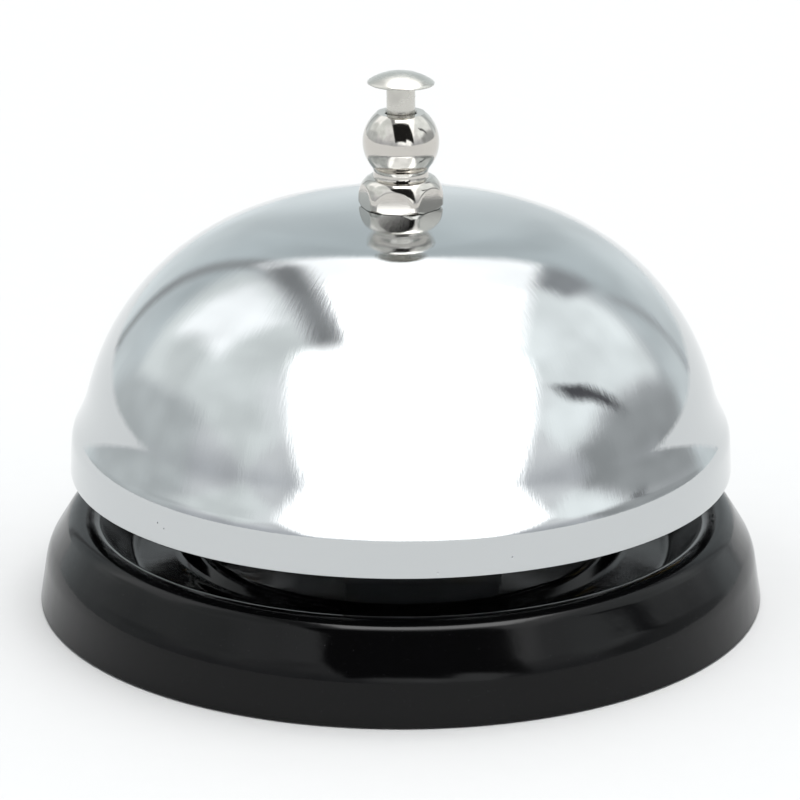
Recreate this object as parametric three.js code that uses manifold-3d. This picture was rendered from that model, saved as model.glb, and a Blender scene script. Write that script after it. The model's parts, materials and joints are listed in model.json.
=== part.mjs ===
// Counter service bell: black pressed foot, chromed dome, finial nut and push button,
// with the striking mechanism inside. Millimetres, +Z up, origin under the middle of the foot.
import * as THREE from "three";
import { mergeVertices } from "three/addons/utils/BufferGeometryUtils.js";
import Module from "manifold-3d";

const wasm = await Module();
wasm.setup();

const degrees = THREE.MathUtils.degToRad;
const FULL_TURN = 2 * Math.PI;

// ---------------------------------------------------------------- facets round each turned piece
const LARGE_FACETS = 48;
const NUT_FACETS = 28;
const SMALL_FACETS = 20;
const HEX_SIDES = 6;

// ---------------------------------------------------------------- small clearances
const SEAT_GAP = 0.05;
const STACK_GAP = 0.1;
const DOME_SEAT_GAP = 0.25;
const RUNNING_GAP = 0.05;

// ---------------------------------------------------------------- foot
const BASE_RADIUS = 42.5;
const BASE_SKIRT_BOTTOM = 0.2;
const BASE_SHEET = 1.0;
const SKIRT_LEAN = 99.2;
const SKIRT_LENGTH = 4.6;
const SHOULDER_RADIUS = 6;
const SHOULDER_LEAN = 122;
const SHOULDER_LENGTH = 3.0;
const CREST_RADIUS = 2.6;
const MOAT_WALL_LEAN = 232;
const MOAT_CORNER_RADIUS = 2.0;
const MOAT_FLOOR = 5.0;
const PLATFORM_WALL_LEAN = 125;
const PLATFORM_EDGE_RADIUS = 1.3;
const PLATFORM_RADIUS = 24.1;
const PLATFORM_TOP = 7.1;
const PAD_RADIUS = 40.4;
const PAD_CHAMFER = 0.4;
const PAD_GAP = 0.3;

// ---------------------------------------------------------------- dome
const DOME_TOP = 46.9;
const DOME_SHEET = 0.9;
const DOME_HOLE_RADIUS = 2.8;
const CROWN_RADIUS = 87.8;
const CROWN_ANGLE = 8.7;
const SIDE_RADIUS = 28.29;
const SIDE_ANGLE = 75.2;
const NECK_RADIUS = 17.1;
const NECK_ANGLE = 61.2;
const LIP_RADIUS = 4.1;
const LIP_ANGLE = 87;
const LIP_BOTTOM = 15.7;

// ---------------------------------------------------------------- finial nut
const FINIAL_BOTTOM = 46.97;
const FINIAL_RIM_BOTTOM = 46.83;
const FINIAL_FLANGE_RADIUS = 4.92;
const FINIAL_FLANGE_TOP = 47.6;
const FINIAL_CHAMFER = 0.32;
const FINIAL_CUSHION_CENTRE = 3.28;
const FINIAL_CUSHION_HEIGHT = 2.72;
const FINIAL_WAIST_RADIUS = 3.14;
const FINIAL_NECK_RADIUS = 1.28;
const FINIAL_NECK_FLARE = 21;
const FINIAL_FLATS = 8.9;
const FINIAL_CORNER_TURN = 19.8;
const BALL_RADIUS = 4.39;
const BALL_CENTRE = 54.33;
const BALL_TOP = 57.75;
const FINIAL_THREAD_RADIUS = 2.7;
const FINIAL_THREAD_TOP = 49.9;
const ROD_HOLE_RADIUS = 1.8;

// ---------------------------------------------------------------- button
const ROD_RADIUS = 1.63;
const CAP_RADIUS = 3.84;
const CAP_RIM_BOTTOM = 61.1;
const CAP_RIM_TOP = 61.29;
const CAP_TOP = 62.5;
const CAP_SOCKET_RADIUS = 1.2;
const CAP_SOCKET_TOP = 61.9;
const TENON_RADIUS = 1.1;
const TENON_TOP = 61.75;
const ROD_SHOULDER = 61.02;
const ROD_TIP = 28.45;
const GROOVE_RADIUS = 1.15;
const GROOVE_BOTTOM = 32.05;
const GROOVE_TOP = 32.8;
const CLIP_THICKNESS = 0.6;
const CLIP_MOUTH = 70;
const ROD_CLIP_RADIUS = 3;

// ---------------------------------------------------------------- bracket and post
const FRAME_SHEET = 1.2;
const FRAME_HALF_GAP = 5.6;
const FRAME_TOP = 37.2;
const FRAME_FOOT_REACH = 14.6;
const FRAME_BACK = -6.5;
const FRAME_FRONT = 11.5;
const FRAME_TOP_FRONT = 6.5;
const FRAME_SHOULDER = 27.5;
const FRAME_CORNER = 2;
const RIVET_X = 2.5;
const RIVET_Y = 10.9;
const RIVET_RADIUS = 1.25;
const RIVET_HOLE_RADIUS = 1.35;
const RIVET_HEAD_RADIUS = 2.3;
const RIVET_HEAD_HEIGHT = 1.1;
const RIVET_TAIL_HEIGHT = 0.7;
const SPRING_SEAT_RADIUS = 1.85;
const SPRING_SEAT_HEIGHT = 1.6;
const POST_RADIUS = 2.5;
const POST_BORE_RADIUS = 1.85;
const POST_BOTTOM = 33;
const POST_TOP = 49.6;
const POST_HOLE_RADIUS = 2.7;
const NUT_FLATS = 8;
const NUT_HEIGHT = 2.3;
const NUT_CHAMFER = 0.45;
const SEAT_NUT_TURN = 12;
const SUPPORT_NUT_TURN = 8;
const WASHER_RADIUS = 4.4;
const LOCK_WASHER_THICKNESS = 0.6;
const DOME_WASHER_RADIUS = 5.2;
const DOME_WASHER_THICKNESS = 0.8;

// ---------------------------------------------------------------- lever and striker
const PIVOT_X = 8;
const PIVOT_Z = 24;
const LEVER_REST_TILT = 10;
const LEVER_SHEET = 1.2;
const LEVER_MID_HEIGHT = 2.2;
const LEVER_INNER_END = -12.2;
const LEVER_PAD_HALF_WIDTH = 4;
const LEVER_EAR_HALF_WIDTH = 5.2;
const LEVER_EAR_HALF_LENGTH = 3;
const LEVER_EAR_RADIUS = 2.4;
const LEVER_ARM_HALF_WIDTH = 3;
const LEVER_TAPER_START = 6;
const STRIKE_ARM = 23.2;
const STRIKE_TILT = 14.8;
const HEAD_RADIUS = 3;
const HEAD_BODY_LENGTH = 2.9;
const HEAD_TENON_RADIUS = 1;
const HEAD_TENON_HOLE = 1.1;
const HEAD_PEEN_RADIUS = 1.6;
const HEAD_PEEN_HEIGHT = 0.6;
const TAB_LOWER_REACH = 3.2;
const PIN_RADIUS = 1;
const PIN_HEAD_RADIUS = 1.9;
const PIN_HEAD_HEIGHT = 0.9;
const PIN_GROOVE_RADIUS = 0.7;
const PIN_END = 8.7;
const PIN_CLIP_RADIUS = 2.1;

// ---------------------------------------------------------------- spring
const SPRING_RADIUS = 2.55;
const SPRING_WIRE_RADIUS = 0.35;
const SPRING_TOP = 26.35;
const SPRING_TURNS = 8;
const SPRING_CLOSED_TURNS = 1;
const SPRING_STEPS_PER_TURN = 12;
const SPRING_WIRE_SIDES = 5;

// ---------------------------------------------------------------- finishes
const FINISHES = {
  gloss_black: { color: 0x0b0c0e, roughness: 0.16, metalness: 0.0 },
  chrome: { color: 0xd9dee2, roughness: 0.05, metalness: 1.0 },
  nickel: { color: 0xd2cec4, roughness: 0.14, metalness: 1.0 },
  satin_nickel: { color: 0xc2beb2, roughness: 0.28, metalness: 1.0 },
  zinc_steel: { color: 0xa8abae, roughness: 0.42, metalness: 1.0 },
  spring_steel: { color: 0x8d8f92, roughness: 0.35, metalness: 1.0 },
  brass: { color: 0xb89246, roughness: 0.32, metalness: 1.0 },
  red_fibre: { color: 0x6d2a20, roughness: 0.85, metalness: 0.0 },
  black_rubber: { color: 0x17171a, roughness: 0.9, metalness: 0.0 },
};

// ================================================================ helpers

// How far an arc goes sideways and upwards while its heading turns.
function arcRun(radius, from, to) {
  return Math.sign(to - from) * radius * (Math.sin(degrees(to)) - Math.sin(degrees(from)));
}

function arcRise(radius, from, to) {
  return Math.sign(to - from) * radius * (Math.cos(degrees(from)) - Math.cos(degrees(to)));
}

// A line drawn by walking. A step is a straight length, a straight run up to some x or z,
// or an arc turning to a new heading. A coarse walk takes each arc in fewer pieces.
function walk(start, heading, steps, coarse = false) {
  const path = [{ x: start[0], z: start[1], heading }];
  for (const step of steps) {
    const last = path[path.length - 1];
    const ahead = [Math.cos(degrees(last.heading)), Math.sin(degrees(last.heading))];
    if (step.radius === undefined) {
      const length = step.length
        ?? (step.toX !== undefined ? (step.toX - last.x) / ahead[0] : (step.toZ - last.z) / ahead[1]);
      path.push({
        x: last.x + length * ahead[0],
        z: last.z + length * ahead[1],
        heading: last.heading,
      });
      continue;
    }
    const turn = step.to - last.heading;
    const side = Math.sign(turn);
    const centreX = last.x - side * step.radius * ahead[1];
    const centreZ = last.z + side * step.radius * ahead[0];
    const pieces = coarse ? Math.ceil(step.pieces / 2) : step.pieces;
    for (let i = 1; i <= pieces; i += 1) {
      const now = last.heading + turn * i / pieces;
      path.push({
        x: centreX + side * step.radius * Math.sin(degrees(now)),
        z: centreZ - side * step.radius * Math.cos(degrees(now)),
        heading: now,
      });
    }
  }
  return path;
}

// The same walk shifted sideways, to the left of the way it runs.
function shifted(path, distance) {
  return path.map((point) => [
    point.x - distance * Math.sin(degrees(point.heading)),
    point.z + distance * Math.cos(degrees(point.heading)),
  ]);
}

function points(path) {
  return path.map((point) => [point.x, point.z]);
}

function arc(centre, radiusX, radiusZ, from, to, pieces) {
  const list = [];
  for (let i = 0; i <= pieces; i += 1) {
    const angle = degrees(from + (to - from) * i / pieces);
    list.push([centre[0] + radiusX * Math.cos(angle), centre[1] + radiusZ * Math.sin(angle)]);
  }
  return list;
}

// Joins equal corners, drops empty triangles and makes sure the faces look outwards.
function closed(geometry) {
  const bare = geometry.clone();
  bare.deleteAttribute("normal");
  bare.deleteAttribute("uv");
  const joined = mergeVertices(bare, 1e-4);
  const corner = joined.getAttribute("position");
  const faces = [];
  let volume = 0;
  const a = new THREE.Vector3();
  const b = new THREE.Vector3();
  const c = new THREE.Vector3();
  for (let i = 0; i < joined.index.count; i += 3) {
    const [p, q, r] = [0, 1, 2].map((k) => joined.index.getX(i + k));
    if (p === q || q === r || r === p) {
      continue;
    }
    faces.push([p, q, r]);
    a.fromBufferAttribute(corner, p);
    b.fromBufferAttribute(corner, q);
    c.fromBufferAttribute(corner, r);
    volume += a.dot(b.cross(c));
  }
  const outward = volume > 0 ? faces : faces.map(([p, q, r]) => [p, r, q]);
  joined.setIndex(outward.flat());
  return joined;
}

// Turns a profile of [radius, height] pairs round the vertical axis.
function turned(profile, facets) {
  const loop = profile.map(([radius, height]) => new THREE.Vector2(Math.max(radius, 0), height));
  const onAxis = profile[0][0] <= 0 && profile[profile.length - 1][0] <= 0;
  if (!onAxis) {
    loop.push(loop[0].clone());
  }
  const geometry = new THREE.LatheGeometry(loop, facets);
  geometry.rotateX(Math.PI / 2);
  return closed(geometry);
}

function shapeOf(outline) {
  return new THREE.Shape(outline.map(([x, y]) => new THREE.Vector2(x, y)));
}

// A flat plate in the XY plane, from height low to height high.
function plate(outline, low, high) {
  const options = { depth: high - low, bevelEnabled: false, steps: 1 };
  const geometry = new THREE.ExtrudeGeometry(shapeOf(outline), options);
  geometry.translate(0, 0, low);
  return closed(geometry);
}

// A plate standing in the XZ plane, from y = low to y = high; its outline is [x, z] pairs.
function standingPlate(outline, low, high) {
  const geometry = plate(outline, low, high);
  geometry.rotateX(Math.PI / 2);
  geometry.scale(1, -1, 1);
  return closed(geometry);
}

// A plate across the X axis, from x = low to x = high; its outline is [y, z] pairs.
function crossPlate(outline, low, high) {
  const geometry = plate(outline, low, high);
  geometry.rotateX(Math.PI / 2);
  geometry.rotateZ(Math.PI / 2);
  return closed(geometry);
}

function rod(radius, low, high, facets) {
  return turned([[0, low], [radius, low], [radius, high], [0, high]], facets);
}

function rodAlongY(radius, low, high, x, z, facets) {
  const geometry = rod(radius, low, high, facets);
  geometry.rotateX(-Math.PI / 2);
  geometry.translate(x, 0, z);
  return closed(geometry);
}

function toSolid(geometry) {
  const clean = closed(geometry);
  return new wasm.Manifold(new wasm.Mesh({
    numProp: 3,
    vertProperties: new Float32Array(clean.getAttribute("position").array),
    triVerts: new Uint32Array(clean.index.array),
  }));
}

function toGeometry(solid) {
  const mesh = solid.getMesh();
  const geometry = new THREE.BufferGeometry();
  geometry.setAttribute("position", new THREE.BufferAttribute(mesh.vertProperties, 3));
  geometry.setIndex(new THREE.BufferAttribute(mesh.triVerts, 1));
  return geometry;
}

function joinedSolids(geometries) {
  return geometries.map(toSolid).reduce((whole, next) => whole.add(next));
}

function without(solid, cutters) {
  return cutters.map(toSolid).reduce((left, cutter) => left.subtract(cutter), solid);
}

const bell = new THREE.Group();
bell.name = "service_bell";

function addPiece(name, finish, geometry, parent = bell) {
  const shown = geometry.toNonIndexed();
  shown.computeVertexNormals();
  const piece = new THREE.Mesh(shown, new THREE.MeshStandardMaterial(FINISHES[finish]));
  piece.name = name;
  parent.add(piece);
  return piece;
}

// ================================================================ foot

const moatDrop = arcRise(MOAT_CORNER_RADIUS, MOAT_WALL_LEAN, 180);
const platformEdgeRun = arcRun(PLATFORM_EDGE_RADIUS, PLATFORM_WALL_LEAN, 180);
const platformEdgeRise = arcRise(PLATFORM_EDGE_RADIUS, PLATFORM_WALL_LEAN, 180);
const moatCornerRun = arcRun(MOAT_CORNER_RADIUS, 180, PLATFORM_WALL_LEAN);
const moatCornerRise = arcRise(MOAT_CORNER_RADIUS, 180, PLATFORM_WALL_LEAN);
const platformWallRise = PLATFORM_TOP - platformEdgeRise - moatCornerRise - MOAT_FLOOR;
const platformWallRun = platformWallRise / Math.tan(degrees(PLATFORM_WALL_LEAN));
const baseSteps = [
  { length: SKIRT_LENGTH },
  { radius: SHOULDER_RADIUS, to: SHOULDER_LEAN, pieces: 3 },
  { length: SHOULDER_LENGTH },
  { radius: CREST_RADIUS, to: MOAT_WALL_LEAN, pieces: 7 },
  { toZ: MOAT_FLOOR - moatDrop },
  { radius: MOAT_CORNER_RADIUS, to: 180, pieces: 3 },
  { toX: PLATFORM_RADIUS - platformEdgeRun / 2 - platformWallRun - moatCornerRun },
  { radius: MOAT_CORNER_RADIUS, to: PLATFORM_WALL_LEAN, pieces: 2 },
  { toZ: PLATFORM_TOP - platformEdgeRise },
  { radius: PLATFORM_EDGE_RADIUS, to: 180, pieces: 3 },
];
const baseStart = [BASE_RADIUS, BASE_SKIRT_BOTTOM];
const baseUnderside = shifted(walk(baseStart, SKIRT_LEAN, baseSteps, true), BASE_SHEET);
const baseProfile = [
  ...points(walk(baseStart, SKIRT_LEAN, baseSteps)),
  [0, PLATFORM_TOP],
  [0, PLATFORM_TOP - BASE_SHEET],
  ...baseUnderside.reverse(),
];
const frameRivetPlaces = [RIVET_Y, -RIVET_Y].map((y) => [RIVET_X, y]);
const platformHoles = [[0, 0], ...frameRivetPlaces].map(([x, y]) => {
  const cutter = rod(RIVET_HOLE_RADIUS, 0, PLATFORM_TOP + BASE_SHEET, SMALL_FACETS);
  cutter.translate(x, y, 0);
  return cutter;
});
const baseSolid = without(toSolid(turned(baseProfile, LARGE_FACETS)), platformHoles);
addPiece("base_shell", "gloss_black", toGeometry(baseSolid));

const PAD_TOP = MOAT_FLOOR - BASE_SHEET - PAD_GAP;
addPiece("base_pad", "black_rubber", turned([
  [0, 0],
  [PAD_RADIUS - PAD_CHAMFER, 0],
  [PAD_RADIUS, PAD_CHAMFER],
  [PAD_RADIUS, PAD_TOP],
  [0, PAD_TOP],
], LARGE_FACETS));

// ================================================================ dome

const domeStart = [
  DOME_HOLE_RADIUS,
  DOME_TOP - CROWN_RADIUS + Math.sqrt(CROWN_RADIUS ** 2 - DOME_HOLE_RADIUS ** 2),
];
const domeHeading = -THREE.MathUtils.radToDeg(Math.asin(DOME_HOLE_RADIUS / CROWN_RADIUS));
const domeSteps = [
  { radius: CROWN_RADIUS, to: -CROWN_ANGLE, pieces: 2 },
  { radius: SIDE_RADIUS, to: -SIDE_ANGLE, pieces: 9 },
  { radius: NECK_RADIUS, to: -NECK_ANGLE, pieces: 2 },
  { radius: LIP_RADIUS, to: -LIP_ANGLE, pieces: 3 },
  { toZ: LIP_BOTTOM },
];
const domeProfile = [
  ...points(walk(domeStart, domeHeading, domeSteps)),
  ...shifted(walk(domeStart, domeHeading, domeSteps, true), -DOME_SHEET).reverse(),
];
addPiece("bell_dome", "chrome", turned(domeProfile, LARGE_FACETS));

// ================================================================ finial nut

const neckCentre = FINIAL_WAIST_RADIUS + FINIAL_NECK_RADIUS;
const neckDrop = Math.sqrt((BALL_RADIUS + FINIAL_NECK_RADIUS) ** 2 - neckCentre ** 2);
const ballStart = THREE.MathUtils.radToDeg(Math.atan2(neckDrop, neckCentre));
const ballEnd = THREE.MathUtils.radToDeg(Math.asin((BALL_TOP - BALL_CENTRE) / BALL_RADIUS));
const cushionWidth = FINIAL_FLANGE_RADIUS - FINIAL_CUSHION_CENTRE;
const finialProfile = [
  [FINIAL_THREAD_RADIUS, FINIAL_BOTTOM],
  [FINIAL_FLANGE_RADIUS - FINIAL_CHAMFER, FINIAL_RIM_BOTTOM],
  [FINIAL_FLANGE_RADIUS, FINIAL_RIM_BOTTOM + FINIAL_CHAMFER],
  ...arc([FINIAL_CUSHION_CENTRE, FINIAL_FLANGE_TOP], cushionWidth, FINIAL_CUSHION_HEIGHT, 0, 80, 6),
  ...arc(
    [neckCentre, BALL_CENTRE - neckDrop],
    FINIAL_NECK_RADIUS, FINIAL_NECK_RADIUS, 180 + FINIAL_NECK_FLARE, 180 - ballStart, 4,
  ),
  ...arc([0, BALL_CENTRE], BALL_RADIUS, BALL_RADIUS, -ballStart, ballEnd, 9),
  [ROD_HOLE_RADIUS, BALL_TOP],
  [ROD_HOLE_RADIUS, FINIAL_THREAD_TOP],
  [FINIAL_THREAD_RADIUS, FINIAL_THREAD_TOP],
];

function hexagon(flats, turn) {
  const corner = flats / 2 / Math.cos(Math.PI / HEX_SIDES);
  const outline = [];
  for (let i = 0; i < HEX_SIDES; i += 1) {
    const angle = degrees(turn) + FULL_TURN * i / HEX_SIDES;
    outline.push([corner * Math.cos(angle), corner * Math.sin(angle)]);
  }
  return outline;
}

const finialHex = plate(
  hexagon(FINIAL_FLATS, FINIAL_CORNER_TURN - 90),
  FINIAL_RIM_BOTTOM - FINIAL_CHAMFER,
  CAP_TOP,
);
const finialSolid = toSolid(turned(finialProfile, NUT_FACETS)).intersect(toSolid(finialHex));
addPiece("finial_nut", "nickel", toGeometry(finialSolid));

// ================================================================ button

const capSphere = (CAP_RADIUS ** 2 + (CAP_TOP - CAP_RIM_TOP) ** 2) / (2 * (CAP_TOP - CAP_RIM_TOP));
const capAngle = THREE.MathUtils.radToDeg(Math.acos(CAP_RADIUS / capSphere));
addPiece("button_cap", "satin_nickel", turned([
  [0, CAP_SOCKET_TOP],
  [CAP_SOCKET_RADIUS, CAP_SOCKET_TOP],
  [CAP_SOCKET_RADIUS, CAP_RIM_BOTTOM],
  [CAP_RADIUS, CAP_RIM_BOTTOM],
  ...arc([0, CAP_TOP - capSphere], capSphere, capSphere, capAngle, 90, 5),
], NUT_FACETS));

addPiece("plunger_rod", "satin_nickel", turned([
  [0, TENON_TOP],
  [TENON_RADIUS, TENON_TOP],
  [TENON_RADIUS, ROD_SHOULDER],
  [ROD_RADIUS, ROD_SHOULDER],
  [ROD_RADIUS, GROOVE_TOP],
  [GROOVE_RADIUS, GROOVE_TOP],
  [GROOVE_RADIUS, GROOVE_BOTTOM],
  [ROD_RADIUS, GROOVE_BOTTOM],
  ...arc([0, ROD_TIP + ROD_RADIUS], ROD_RADIUS, ROD_RADIUS, 0, -90, 4),
], SMALL_FACETS));

// A flat spring clip: a ring with a mouth, centred on the axis.
function clipOutline(innerRadius, outerRadius) {
  const from = CLIP_MOUTH / 2;
  const to = 360 - from;
  const pieces = SMALL_FACETS - 4;
  const outer = arc([0, 0], outerRadius, outerRadius, from, to, pieces);
  return [...outer, ...arc([0, 0], innerRadius, innerRadius, to, from, pieces)];
}

const rodClipLow = GROOVE_BOTTOM + RUNNING_GAP;
addPiece("plunger_clip", "spring_steel", plate(
  clipOutline(GROOVE_RADIUS + RUNNING_GAP, ROD_CLIP_RADIUS),
  rodClipLow,
  rodClipLow + CLIP_THICKNESS,
));

// ================================================================ bracket

const FOOT_BOTTOM = PLATFORM_TOP + SEAT_GAP;
const FOOT_TOP = FOOT_BOTTOM + FRAME_SHEET;
const FRAME_HALF_WIDTH = FRAME_HALF_GAP + FRAME_SHEET;
const footInside = [
  [FRAME_FOOT_REACH, FOOT_BOTTOM],
  [FRAME_FOOT_REACH, FOOT_TOP],
  [FRAME_HALF_WIDTH + FRAME_SHEET / 2, FOOT_TOP],
  [FRAME_HALF_WIDTH, FOOT_TOP + FRAME_SHEET / 2],
  [FRAME_HALF_WIDTH, FRAME_TOP - FRAME_CORNER / 2],
  [FRAME_HALF_WIDTH - FRAME_CORNER / 2, FRAME_TOP],
];
const footOutside = [
  [FRAME_HALF_GAP - FRAME_SHEET / 2, FRAME_TOP - FRAME_SHEET],
  [FRAME_HALF_GAP, FRAME_TOP - FRAME_SHEET - FRAME_SHEET / 2],
  [FRAME_HALF_GAP, FOOT_BOTTOM + FRAME_SHEET],
  [FRAME_HALF_GAP + FRAME_SHEET, FOOT_BOTTOM],
];
const mirrored = (list) => list.map(([y, z]) => [-y, z]).reverse();
const hatOutline = [
  ...footInside,
  ...mirrored(footInside),
  ...mirrored(footOutside),
  ...footOutside,
];
const hat = toSolid(crossPlate(hatOutline, FRAME_BACK, FRAME_FRONT));
const sideOutline = [
  [FRAME_BACK, FOOT_BOTTOM - FRAME_SHEET],
  [FRAME_FRONT, FOOT_BOTTOM - FRAME_SHEET],
  [FRAME_FRONT, FRAME_SHOULDER - FRAME_CORNER],
  [FRAME_FRONT - FRAME_CORNER / 2, FRAME_SHOULDER],
  [FRAME_TOP_FRONT, FRAME_TOP - FRAME_CORNER],
  [FRAME_TOP_FRONT, FRAME_TOP + FRAME_SHEET],
  [FRAME_BACK, FRAME_TOP + FRAME_SHEET],
];
const frameBlank = hat.intersect(toSolid(
  standingPlate(sideOutline, -FRAME_FOOT_REACH - FRAME_SHEET, FRAME_FOOT_REACH + FRAME_SHEET),
));
const footHoles = frameRivetPlaces.map(([x, y]) => {
  const cutter = rod(
    RIVET_HOLE_RADIUS, FOOT_BOTTOM - FRAME_SHEET, FOOT_TOP + FRAME_SHEET, SMALL_FACETS,
  );
  cutter.translate(x, y, 0);
  return cutter;
});
const frameSolid = without(frameBlank, [
  ...footHoles,
  rod(POST_HOLE_RADIUS, FRAME_TOP - 2 * FRAME_SHEET, FRAME_TOP + FRAME_SHEET, NUT_FACETS),
  rodAlongY(
    PIN_RADIUS + RUNNING_GAP, -FRAME_FOOT_REACH, FRAME_FOOT_REACH, PIVOT_X, PIVOT_Z, SMALL_FACETS,
  ),
]);
addPiece("hammer_frame", "zinc_steel", toGeometry(frameSolid));

// A rivet with a domed head on top and a flat tail under the platform.
function rivet(headRadius, headHeight, headBottom) {
  const tailTop = PLATFORM_TOP - BASE_SHEET - SEAT_GAP;
  return turned([
    [0, tailTop - RIVET_TAIL_HEIGHT],
    [headRadius * 0.9, tailTop - RIVET_TAIL_HEIGHT],
    [headRadius * 0.9, tailTop],
    [RIVET_RADIUS, tailTop],
    [RIVET_RADIUS, headBottom],
    ...arc([0, headBottom], headRadius, headHeight, 0, 90, 4),
  ], SMALL_FACETS);
}

frameRivetPlaces.forEach(([x, y], index) => {
  const geometry = rivet(RIVET_HEAD_RADIUS, RIVET_HEAD_HEIGHT, FOOT_TOP + SEAT_GAP);
  addPiece(`frame_rivet_${index + 1}`, "zinc_steel", geometry).position.set(x, y, 0);
});
addPiece("spring_seat_rivet", "zinc_steel", rivet(
  SPRING_SEAT_RADIUS, SPRING_SEAT_HEIGHT, PLATFORM_TOP + SEAT_GAP,
));

// ================================================================ post, nuts and washers

function ring(innerRadius, outerRadius, low, high, facets) {
  return turned([
    [innerRadius, low],
    [outerRadius, low],
    [outerRadius, high],
    [innerRadius, high],
  ], facets);
}

// A chamfered nut on the post, its lower face at height low, turned by some angle.
function addNut(name, low, turn) {
  const corner = NUT_FLATS / 2 / Math.cos(Math.PI / HEX_SIDES);
  const blank = turned([
    [POST_HOLE_RADIUS, 0],
    [corner - NUT_CHAMFER, 0],
    [corner, NUT_CHAMFER / 2],
    [corner, NUT_HEIGHT - NUT_CHAMFER / 2],
    [corner - NUT_CHAMFER, NUT_HEIGHT],
    [POST_HOLE_RADIUS, NUT_HEIGHT],
  ], NUT_FACETS);
  const hex = plate(hexagon(NUT_FLATS, 0), -NUT_CHAMFER, NUT_HEIGHT + NUT_CHAMFER);
  const nut = addPiece(name, "zinc_steel", toGeometry(toSolid(blank).intersect(toSolid(hex))));
  nut.position.z = low;
  nut.rotation.z = degrees(turn);
}

addPiece("center_post", "zinc_steel", ring(
  POST_BORE_RADIUS, POST_RADIUS, POST_BOTTOM, POST_TOP, NUT_FACETS,
));
const plateBottom = FRAME_TOP - FRAME_SHEET;
const lockWasherLow = plateBottom - SEAT_GAP - LOCK_WASHER_THICKNESS;
addPiece("post_lock_washer", "spring_steel", ring(
  POST_HOLE_RADIUS, WASHER_RADIUS, lockWasherLow, plateBottom - SEAT_GAP, NUT_FACETS,
));
addNut("post_lock_nut", lockWasherLow - SEAT_GAP - NUT_HEIGHT, 0);
addNut("post_seat_nut", FRAME_TOP + SEAT_GAP, SEAT_NUT_TURN);

const underCrown = DOME_TOP - CROWN_RADIUS
  + Math.sqrt((CROWN_RADIUS - DOME_SHEET) ** 2 - DOME_WASHER_RADIUS ** 2);
const domeWasherTop = underCrown - DOME_SEAT_GAP;
const domeWasherLow = domeWasherTop - DOME_WASHER_THICKNESS;
addPiece("dome_washer", "red_fibre", ring(
  POST_HOLE_RADIUS, DOME_WASHER_RADIUS, domeWasherLow, domeWasherTop, NUT_FACETS,
));
addNut("dome_support_nut", domeWasherLow - SEAT_GAP - NUT_HEIGHT, SUPPORT_NUT_TURN);

// ================================================================ lever, striker and pivot

// The lever is drawn level with the pin at the origin; its group tilts it to where it rests.
const hammer = new THREE.Group();
hammer.name = "hammer";
hammer.position.set(PIVOT_X, 0, PIVOT_Z);
hammer.rotation.y = degrees(LEVER_REST_TILT);
bell.add(hammer);

// The striker is turned about its own Z, striking end up, centred on its round nose.
const striker = new THREE.Group();
striker.name = "striker";
striker.position.x = STRIKE_ARM;
striker.rotation.y = degrees(90 - STRIKE_TILT);
hammer.add(striker);

const tabFace = -HEAD_BODY_LENGTH - SEAT_GAP;
const tabMid = tabFace - LEVER_SHEET / 2;
const strikeAcross = [-Math.sin(degrees(STRIKE_TILT)), Math.cos(degrees(STRIKE_TILT))];
const strikeAlong = [Math.cos(degrees(STRIKE_TILT)), Math.sin(degrees(STRIKE_TILT))];
const tabCentre = [STRIKE_ARM + tabMid * strikeAlong[0], tabMid * strikeAlong[1]];
const bendReach = (LEVER_MID_HEIGHT - tabCentre[1]) / strikeAcross[1];
const bendX = tabCentre[0] + bendReach * strikeAcross[0];
const bendTangent = LEVER_SHEET * Math.tan(degrees(90 - STRIKE_TILT) / 2);
const stripPath = walk([LEVER_INNER_END, LEVER_MID_HEIGHT], 0, [
  { length: bendX - LEVER_INNER_END - bendTangent },
  { radius: LEVER_SHEET, to: STRIKE_TILT - 90, pieces: 4 },
  { length: bendReach + TAB_LOWER_REACH - bendTangent },
]);
const stripOutline = [
  ...shifted(stripPath, LEVER_SHEET / 2),
  ...shifted(stripPath, -LEVER_SHEET / 2).reverse(),
];
const halfPlan = [
  [LEVER_INNER_END - LEVER_SHEET, LEVER_PAD_HALF_WIDTH],
  [-LEVER_EAR_HALF_LENGTH - LEVER_SHEET, LEVER_PAD_HALF_WIDTH],
  [-LEVER_EAR_HALF_LENGTH, LEVER_EAR_HALF_WIDTH],
  [LEVER_EAR_HALF_LENGTH, LEVER_EAR_HALF_WIDTH],
  [LEVER_TAPER_START, LEVER_ARM_HALF_WIDTH],
  [STRIKE_ARM + HEAD_RADIUS, LEVER_ARM_HALF_WIDTH],
];
const planOutline = [...halfPlan, ...halfPlan.map(([x, y]) => [x, -y]).reverse()];
const strip = toSolid(standingPlate(stripOutline, -LEVER_EAR_HALF_WIDTH, LEVER_EAR_HALF_WIDTH));
const plan = toSolid(plate(planOutline, -2 * STRIKE_ARM, 2 * STRIKE_ARM));
const earOutline = [
  [LEVER_EAR_RADIUS, LEVER_MID_HEIGHT],
  [-LEVER_EAR_RADIUS, LEVER_MID_HEIGHT],
  ...arc([0, 0], LEVER_EAR_RADIUS, LEVER_EAR_RADIUS, 180, 360, 8),
];
const ears = [-1, 1].map((side) => {
  const outer = side * LEVER_EAR_HALF_WIDTH;
  const inner = side * (LEVER_EAR_HALF_WIDTH - LEVER_SHEET);
  return standingPlate(earOutline, Math.min(inner, outer), Math.max(inner, outer));
});
const leverBlank = strip.intersect(plan).add(joinedSolids(ears));
striker.updateMatrix();
const leverSolid = without(leverBlank, [
  rodAlongY(
    PIN_RADIUS + RUNNING_GAP, -FRAME_HALF_GAP, FRAME_HALF_GAP, 0, 0, SMALL_FACETS,
  ),
  rod(HEAD_TENON_HOLE, -2 * HEAD_RADIUS, 0, SMALL_FACETS).applyMatrix4(striker.matrix),
]);
addPiece("hammer_lever", "zinc_steel", toGeometry(leverSolid), hammer);

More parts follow.
